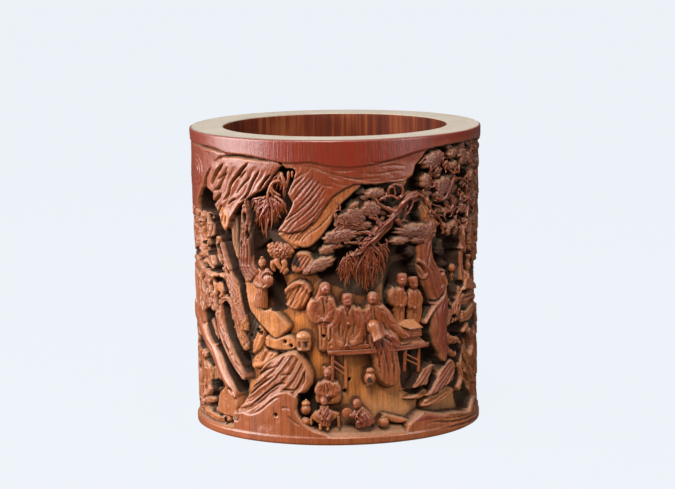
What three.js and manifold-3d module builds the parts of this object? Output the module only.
// Brush holder pot: a length of bamboo culm, carved all round in deep relief, with an inset
// wooden floor held by three bamboo pegs. Millimetres, +Z up, origin at the bottom centre,
// front of the carved scene towards -Y. Angles are degrees round the pot, 0 at the front,
// growing towards +X.

import * as THREE from 'three';
import { mergeVertices } from 'three/addons/utils/BufferGeometryUtils.js';
import Module from 'manifold-3d';

// Driving dimensions.
const HEIGHT = 147;
const RIM_DIAMETER = 144;
const BASE_DIAMETER = 141;
const BORE_DIAMETER = 110.5;
const RABBET_DIAMETER = 120;
const FLOOR_THICKNESS = 10;
const FLOOR_RECESS = 3;
const GAP = 0.3;
const EDGE = 1;

const PEG_DIAMETER = 2.5;
const PEG_DEPTH_IN_FLOOR = 6;
const PEG_HEIGHT = 10;
const PEG_ANGLES = [-45, 75, 195];

const FOOT_BAND = 12;
const RIM_BAND = 12;
const CARVING_DEPTH = 7;
const SHOULDER = 4;

const ROUND_SEGMENTS = 96;
const CARVED_ROWS = 24;
const FLOOR_SEGMENTS = 64;
const PEG_SEGMENTS = 16;

// Masses left standing in the carved field: the angle and height of the centre, half the
// width and half the height on the skin, a tilt in degrees (positive leans the top to the
// right), and how much of the carving depth each keeps.
const MASSES = [
  { name: 'overhanging cliff', angle: -44, height: 122, halfWidth: 24, halfHeight: 15, tilt: 40, keep: 1 },
  { name: 'sloping cliff', angle: -12, height: 118, halfWidth: 16, halfHeight: 19, tilt: 45, keep: 0.9 },
  { name: 'cloud bank', angle: 18, height: 134, halfWidth: 34, halfHeight: 9, tilt: 90, keep: 1 },
  { name: 'root trunk', angle: -62, height: 50, halfWidth: 10, halfHeight: 36, tilt: -32, keep: 1 },
  { name: 'left tree', angle: -66, height: 88, halfWidth: 14, halfHeight: 18, tilt: 0, keep: 0.9 },
  { name: 'stepped boulder', angle: -27, height: 26, halfWidth: 26, halfHeight: 16, tilt: 55, keep: 1 },
  { name: 'stone step', angle: -27, height: 61, halfWidth: 8, halfHeight: 15, tilt: -60, keep: 0.8 },
  { name: 'old trunk', angle: -35, height: 96, halfWidth: 5, halfHeight: 20, tilt: 0, keep: 0.8 },
  { name: 'pine crown', angle: 8, height: 104, halfWidth: 18, halfHeight: 16, tilt: 90, keep: 0.8 },
  { name: 'pine branches', angle: 34, height: 105, halfWidth: 14, halfHeight: 24, tilt: 90, keep: 0.8 },
  { name: 'upper pine crown', angle: 60, height: 122, halfWidth: 18, halfHeight: 30, tilt: 90, keep: 1 },
  { name: 'scholars at the table', angle: 5, height: 60, halfWidth: 20, halfHeight: 14, tilt: 0, keep: 0.7 },
  { name: 'standing guest', angle: 18, height: 44, halfWidth: 9, halfHeight: 19, tilt: 0, keep: 0.9 },
  { name: 'table', angle: 17, height: 49, halfWidth: 5, halfHeight: 26, tilt: 90, keep: 0.8 },
  { name: 'two attendants', angle: 28, height: 69, halfWidth: 9, halfHeight: 14, tilt: 0, keep: 0.6 },
  { name: 'servants at the stove', angle: 0, height: 21, halfWidth: 16, halfHeight: 10, tilt: 90, keep: 0.7 },
  { name: 'pine trunk', angle: 44, height: 64, halfWidth: 8, halfHeight: 30, tilt: -12, keep: 1 },
  { name: 'second trunk', angle: 62, height: 82, halfWidth: 5, halfHeight: 24, tilt: 0, keep: 1 },
  { name: 'pointed rocks', angle: 43, height: 27, halfWidth: 14, halfHeight: 8, tilt: 50, keep: 0.9 },
  { name: 'low hill', angle: 50, height: 8, halfWidth: 30, halfHeight: 6, tilt: 92, keep: 1 },
  { name: 'leaning slab', angle: 68, height: 62, halfWidth: 9, halfHeight: 14, tilt: 60, keep: 0.9 },
  { name: 'side boulders', angle: 68, height: 32, halfWidth: 14, halfHeight: 14, tilt: 0, keep: 0.8 },
  { name: 'side cliff', angle: 98, height: 98, halfWidth: 17, halfHeight: 32, tilt: 12, keep: 1 },
  { name: 'side rocks', angle: 104, height: 30, halfWidth: 22, halfHeight: 18, tilt: 40, keep: 0.9 },
  { name: 'back pine trunk', angle: 134, height: 66, halfWidth: 8, halfHeight: 46, tilt: 10, keep: 1 },
  { name: 'back pine crown', angle: 142, height: 116, halfWidth: 17, halfHeight: 34, tilt: 90, keep: 0.9 },
  { name: 'path and walkers', angle: 168, height: 52, halfWidth: 16, halfHeight: 22, tilt: 0, keep: 0.7 },
  { name: 'back boulder', angle: 160, height: 20, halfWidth: 30, halfHeight: 12, tilt: 90, keep: 1 },
  { name: 'back cliff', angle: 194, height: 108, halfWidth: 22, halfHeight: 26, tilt: 25, keep: 1 },
  { name: 'back strata', angle: 204, height: 40, halfWidth: 20, halfHeight: 30, tilt: 30, keep: 0.9 },
  { name: 'far trunk', angle: 236, height: 72, halfWidth: 8, halfHeight: 44, tilt: -10, keep: 1 },
  { name: 'far crown', angle: 232, height: 120, halfWidth: 14, halfHeight: 30, tilt: 90, keep: 0.9 },
  { name: 'far rocks', angle: 250, height: 24, halfWidth: 24, halfHeight: 14, tilt: 90, keep: 1 },
  { name: 'near cliff', angle: 266, height: 106, halfWidth: 14, halfHeight: 28, tilt: 0, keep: 1 },
];

const wasm = await Module();
wasm.setup();

// Outer skin radius at a height: the culm tapers gently towards the foot.
function skinRadius(height) {
  const share = height / HEIGHT;
  return (BASE_DIAMETER + (RIM_DIAMETER - BASE_DIAMETER) * share) / 2;
}

function smoothStep(share) {
  const t = Math.min(Math.max(share, 0), 1);
  return t * t * (3 - 2 * t);
}

// How much of one mass stands at a place on the skin, from 0 to 1.
function massShare(mass, angle, height) {
  let turn = (angle - mass.angle) % 360;
  if (turn > 180) turn -= 360;
  if (turn < -180) turn += 360;
  const across = THREE.MathUtils.degToRad(turn) * skinRadius(mass.height);
  const up = height - mass.height;
  const lean = THREE.MathUtils.degToRad(mass.tilt);
  const along = up * Math.cos(lean) + across * Math.sin(lean);
  const aside = across * Math.cos(lean) - up * Math.sin(lean);
  const reach = Math.hypot(aside / mass.halfWidth, along / mass.halfHeight);
  const softness = SHOULDER / Math.min(mass.halfWidth, mass.halfHeight);
  return mass.keep * smoothStep((1 + softness - reach) / softness);
}

// Depth of the carving below the skin at an angle and height.
function carvedDepth(angle, height) {
  const inside = Math.min(height - FOOT_BAND, HEIGHT - RIM_BAND - height);
  const field = smoothStep(inside / SHOULDER);
  let standing = 0;
  for (const mass of MASSES) {
    standing = Math.max(standing, massShare(mass, angle, height));
  }
  return CARVING_DEPTH * field * (1 - standing);
}

function toSolid(geometry) {
  const bare = geometry.index ? geometry.clone() : geometry;
  bare.deleteAttribute('normal');
  bare.deleteAttribute('uv');
  const merged = mergeVertices(bare);
  const vertProperties = new Float32Array(merged.attributes.position.array);
  const triVerts = new Uint32Array(merged.index.array);
  return new wasm.Manifold(new wasm.Mesh({ numProp: 3, vertProperties, triVerts }));
}

function toGeometry(solid) {
  const mesh = solid.getMesh();
  const geometry = new THREE.BufferGeometry();
  geometry.setAttribute('position', new THREE.BufferAttribute(mesh.vertProperties, 3));
  geometry.setIndex(new THREE.BufferAttribute(mesh.triVerts, 1));
  geometry.computeVertexNormals();
  return geometry;
}

// A round solid about Z from a closed or axis-to-axis profile of [radius, height] points.
function turned(profile, segments) {
  const points = profile.map(([radius, height]) => new THREE.Vector2(radius, height));
  const geometry = new THREE.LatheGeometry(points, segments);
  geometry.rotateX(Math.PI / 2);
  return geometry;
}

// A radial pin lying from one radius to another, at the peg height and one angle.
function radialPin(radius, inner, outer, angle) {
  const pin = new THREE.CylinderGeometry(radius, radius, outer - inner, PEG_SEGMENTS);
  pin.translate(0, -(inner + outer) / 2, PEG_HEIGHT);
  pin.rotateZ(THREE.MathUtils.degToRad(angle));
  return pin;
}

const floorRadius = RABBET_DIAMETER / 2 - GAP;
const floorTop = FLOOR_RECESS + FLOOR_THICKNESS;
const pegInner = floorRadius - PEG_DEPTH_IN_FLOOR;
const pegOuter = skinRadius(PEG_HEIGHT) - GAP;
const holeRadius = PEG_DIAMETER / 2 + GAP;

function cutPegHoles(solid) {
  let result = solid;
  for (const angle of PEG_ANGLES) {
    const drill = radialPin(holeRadius, pegInner - GAP, pegOuter + 2 * EDGE, angle);
    result = result.subtract(toSolid(drill));
  }
  return result;
}

function bambooWall() {
  const bore = BORE_DIAMETER / 2;
  const rabbet = RABBET_DIAMETER / 2;
  const skin = [];
  skin.push([skinRadius(0) - EDGE, 0]);
  skin.push([skinRadius(EDGE), EDGE]);
  skin.push([skinRadius(FOOT_BAND / 2), FOOT_BAND / 2]);
  const step = (HEIGHT - RIM_BAND - FOOT_BAND) / CARVED_ROWS;
  for (let row = 0; row <= CARVED_ROWS; row += 1) {
    const height = FOOT_BAND + row * step;
    skin.push([skinRadius(height), height]);
  }
  skin.push([skinRadius(HEIGHT - EDGE), HEIGHT - EDGE]);
  skin.push([skinRadius(HEIGHT) - EDGE, HEIGHT]);
  const inside = [
    [bore + EDGE, HEIGHT],
    [bore, HEIGHT - EDGE],
    [bore, floorTop + GAP],
    [rabbet, floorTop + GAP],
    [rabbet, 0],
  ];
  const geometry = turned([...skin, ...inside, skin[0]], ROUND_SEGMENTS);

  const position = geometry.attributes.position;
  const point = new THREE.Vector3();
  for (let i = 0; i < position.count; i += 1) {
    point.fromBufferAttribute(position, i);
    const radius = Math.hypot(point.x, point.y);
    if (radius > rabbet + EDGE) {
      const angle = THREE.MathUtils.radToDeg(Math.atan2(point.x, -point.y));
      const carved = (radius - carvedDepth(angle, point.z)) / radius;
      position.setXYZ(i, point.x * carved, point.y * carved, point.z);
    }
  }
  return toGeometry(cutPegHoles(toSolid(geometry)));
}

function floorDisc() {
  const profile = [
    [0, FLOOR_RECESS],
    [floorRadius - EDGE / 2, FLOOR_RECESS],
    [floorRadius, FLOOR_RECESS + EDGE / 2],
    [floorRadius, floorTop - EDGE / 2],
    [floorRadius - EDGE / 2, floorTop],
    [0, floorTop],
  ];
  return toGeometry(cutPegHoles(toSolid(turned(profile, FLOOR_SEGMENTS))));
}

const bambooMaterial = new THREE.MeshStandardMaterial({ color: 0x8a4330, roughness: 0.4, metalness: 0 });
const floorMaterial = new THREE.MeshStandardMaterial({ color: 0x6b3a26, roughness: 0.6, metalness: 0 });
const pegMaterial = new THREE.MeshStandardMaterial({ color: 0x5a2f1e, roughness: 0.55, metalness: 0 });

function addPart(group, name, geometry, material) {
  const mesh = new THREE.Mesh(geometry, material);
  mesh.name = name;
  group.add(mesh);
  return mesh;
}

const brushPot = new THREE.Group();
addPart(brushPot, 'bamboo_wall', bambooWall(), bambooMaterial);
addPart(brushPot, 'floor_disc', floorDisc(), floorMaterial);

PEG_ANGLES.forEach((angle, index) => {
  const turn = new THREE.Group();
  turn.rotation.z = THREE.MathUtils.degToRad(angle);
  brushPot.add(turn);
  const length = pegOuter - pegInner;
  const peg = new THREE.CylinderGeometry(PEG_DIAMETER / 2, PEG_DIAMETER / 2, length, PEG_SEGMENTS);
  const mesh = addPart(turn, `floor_peg_${index + 1}`, peg, pegMaterial);
  mesh.position.set(0, -(pegInner + pegOuter) / 2, PEG_HEIGHT);
});

export default brushPot;
